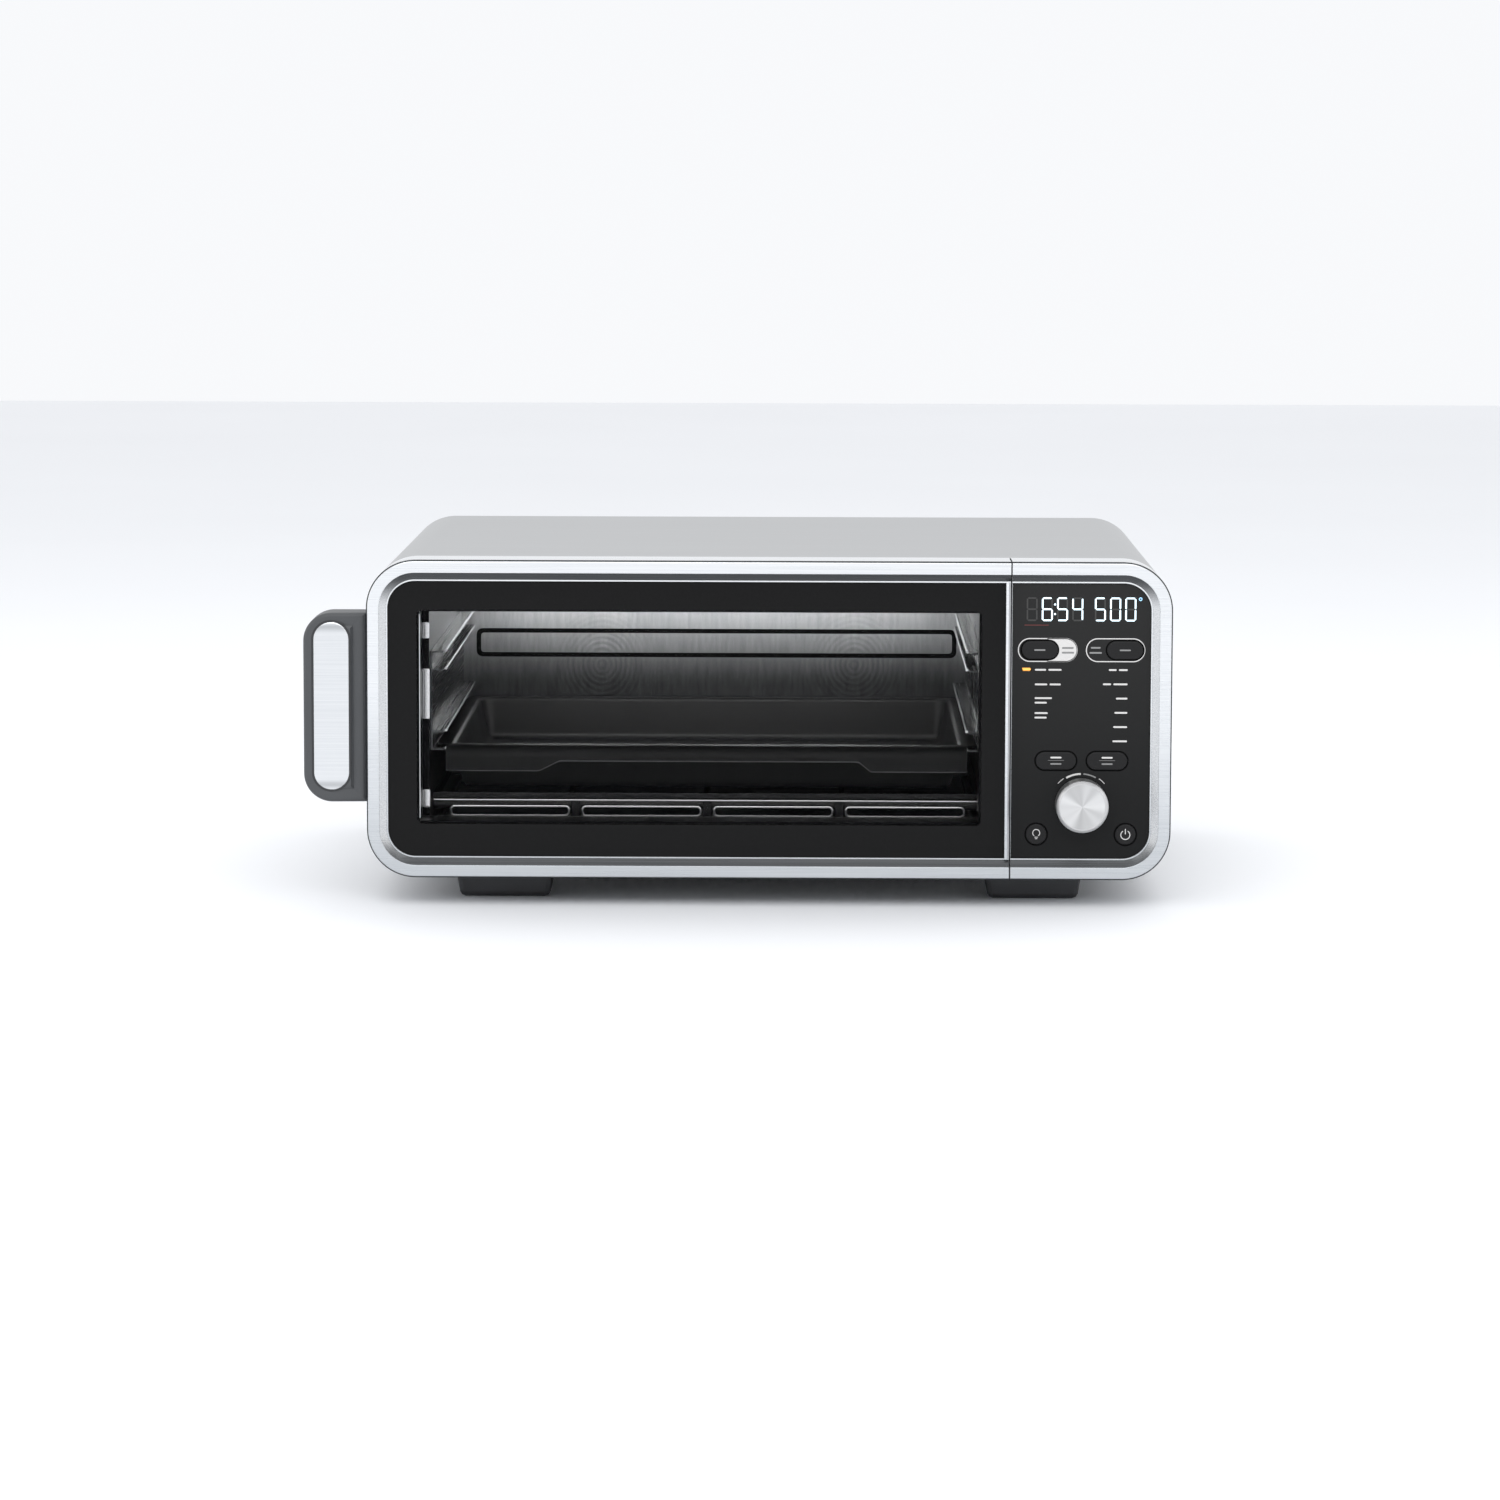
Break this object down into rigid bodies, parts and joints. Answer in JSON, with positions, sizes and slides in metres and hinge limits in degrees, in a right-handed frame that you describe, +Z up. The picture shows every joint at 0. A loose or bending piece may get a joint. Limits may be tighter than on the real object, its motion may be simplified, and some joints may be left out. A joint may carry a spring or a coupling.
{
  "type": "toaster oven",
  "caption": "Low countertop toaster oven: brushed steel sleeve, drop-down glass door with a side handle, lit cavity with a pan, and a control panel with keys, display and knob.",
  "frame": {"origin": "on the counter, under the middle of the oven's overall box", "axes": "+X to the right seen from the front, +Y to the back, +Z up; the door and panel face -Y"},
  "size_m": [0.5156, 0.434, 0.2062],
  "materials": {
    "brushed_steel": "horizontally brushed stainless sheet",
    "bright_rim": "bright satin rim with a darker sloped inner edge",
    "liner_steel": "plain satin sheet steel",
    "grey_plastic": "dark grey fine-grained moulding",
    "foot_rubber": "dull dark moulding",
    "black_fascia": "gloss black",
    "dark_glass": "tempered glass with a black printed border",
    "clear_glass": "clear",
    "nonstick": "matt black non-stick coating",
    "knob_aluminium": "spun satin face",
    "heater_sheath": "oxidised sheath",
    "circuit_board": "green laminate",
    "amber_lens": "glowing amber"
  },
  "bodies": {
    "housing": {"outer_wrap": "brushed_steel", "base_plate": "liner_steel", "rear_panel": "brushed_steel", "rear_spacer_left": "grey_plastic", "rear_spacer_right": "grey_plastic", "front_frame": "liner_steel", "hinge_bracket_left": "liner_steel", "hinge_bracket_right": "liner_steel", "panel_housing": "bright_rim", "panel_fascia": "black_fascia", "encoder_body": "liner_steel", "display_module": "black_fascia", "mode_light": "amber_lens", "control_board": "circuit_board", "power_board": "circuit_board", "cavity_left_wall": "liner_steel", "cavity_right_wall": "liner_steel", "cavity_ceiling": "liner_steel", "cavity_floor": "liner_steel", "cavity_back_wall": "liner_steel", "rack_guide_left": "liner_steel", "rack_guide_right": "liner_steel", "heater_lower_front": "heater_sheath", "heater_lower_rear": "heater_sheath", "heater_upper_front": "heater_sheath", "heater_upper_rear": "heater_sheath", "element_guard": "liner_steel", "heat_shield": "liner_steel", "fan_motor": "liner_steel", "cooling_motor": "liner_steel", "lamp_cover": "clear_glass", "interior_lamp": "clear_glass", "temperature_probe": "liner_steel", "front_foot_left": "foot_rubber", "front_foot_right": "foot_rubber", "rear_foot_left": "foot_rubber", "rear_foot_right": "foot_rubber", "cord_gland": "foot_rubber"},
    "door": {"door_frame": "bright_rim", "door_outer_glass": "dark_glass", "door_inner_frame": "liner_steel", "door_inner_glass": "clear_glass", "door_handle": "grey_plastic", "handle_inlay": "brushed_steel", "hinge_pin_left": "bright_rim", "hinge_pin_right": "bright_rim"},
    "mode_key_left": {"mode_button_left": "black_fascia"},
    "mode_key_right": {"mode_button_right": "black_fascia"},
    "time_key": {"time_button": "black_fascia"},
    "temperature_key": {"temperature_button": "black_fascia"},
    "light_key": {"light_button": "black_fascia"},
    "power_key": {"power_button": "black_fascia"},
    "selector_shaft": {"encoder_shaft": "liner_steel"},
    "selector_knob": {"knob": "knob_aluminium"},
    "pan": {"sheet_pan": "nonstick"},
    "tray": {"crumb_tray": "liner_steel"},
    "convection_rotor": {"convection_fan": "liner_steel"},
    "cooling_rotor": {"cooling_fan": "grey_plastic"}
  },
  "joints": [
    {"name": "door_hinge", "type": "hinge", "parent": "housing", "child": "door", "pos_m": [-0.02895, -0.185, 0.0242], "axis": [1, 0, 0], "range_deg": [0, 90]},
    {"name": "pan_slide", "type": "slide", "parent": "housing", "child": "pan", "axis": [0, -1, 0], "range_m": [0, 0.095]},
    {"name": "tray_slide", "type": "slide", "parent": "housing", "child": "tray", "axis": [0, -1, 0], "range_m": [0, 0.024]},
    {"name": "mode_key_left_press", "type": "slide", "parent": "housing", "child": "mode_key_left", "axis": [0, 1, 0], "range_m": [0, 0.001], "stiffness_N_per_m": 400, "springref_m": -0.001},
    {"name": "mode_key_right_press", "type": "slide", "parent": "housing", "child": "mode_key_right", "axis": [0, 1, 0], "range_m": [0, 0.001], "stiffness_N_per_m": 400, "springref_m": -0.001},
    {"name": "time_key_press", "type": "slide", "parent": "housing", "child": "time_key", "axis": [0, 1, 0], "range_m": [0, 0.001], "stiffness_N_per_m": 400, "springref_m": -0.001},
    {"name": "temperature_key_press", "type": "slide", "parent": "housing", "child": "temperature_key", "axis": [0, 1, 0], "range_m": [0, 0.001], "stiffness_N_per_m": 400, "springref_m": -0.001},
    {"name": "light_key_press", "type": "slide", "parent": "housing", "child": "light_key", "axis": [0, 1, 0], "range_m": [0, 0.001], "stiffness_N_per_m": 400, "springref_m": -0.001},
    {"name": "power_key_press", "type": "slide", "parent": "housing", "child": "power_key", "axis": [0, 1, 0], "range_m": [0, 0.001], "stiffness_N_per_m": 400, "springref_m": -0.001},
    {"name": "selector_push", "type": "slide", "parent": "housing", "child": "selector_shaft", "axis": [0, 1, 0], "range_m": [0, 0.001], "stiffness_N_per_m": 800, "springref_m": -0.001},
    {"name": "selector_turn", "type": "hinge", "parent": "selector_shaft", "child": "selector_knob", "pos_m": [0.20465, -0.203, 0.0621], "axis": [0, 1, 0], "continuous": true},
    {"name": "convection_fan_spin", "type": "hinge", "parent": "housing", "child": "convection_rotor", "pos_m": [0.15785, -0.013, 0.1167], "axis": [1, 0, 0], "continuous": true},
    {"name": "cooling_fan_spin", "type": "hinge", "parent": "housing", "child": "cooling_rotor", "pos_m": [0.20385, 0.1668, 0.1117], "axis": [0, 1, 0], "continuous": true}
  ],
  "couplings": [
    {"joint": "pan_slide", "follows": "door_hinge", "m_per_rad": 0.06},
    {"joint": "tray_slide", "follows": "door_hinge", "m_per_rad": 0.015}
  ]
}
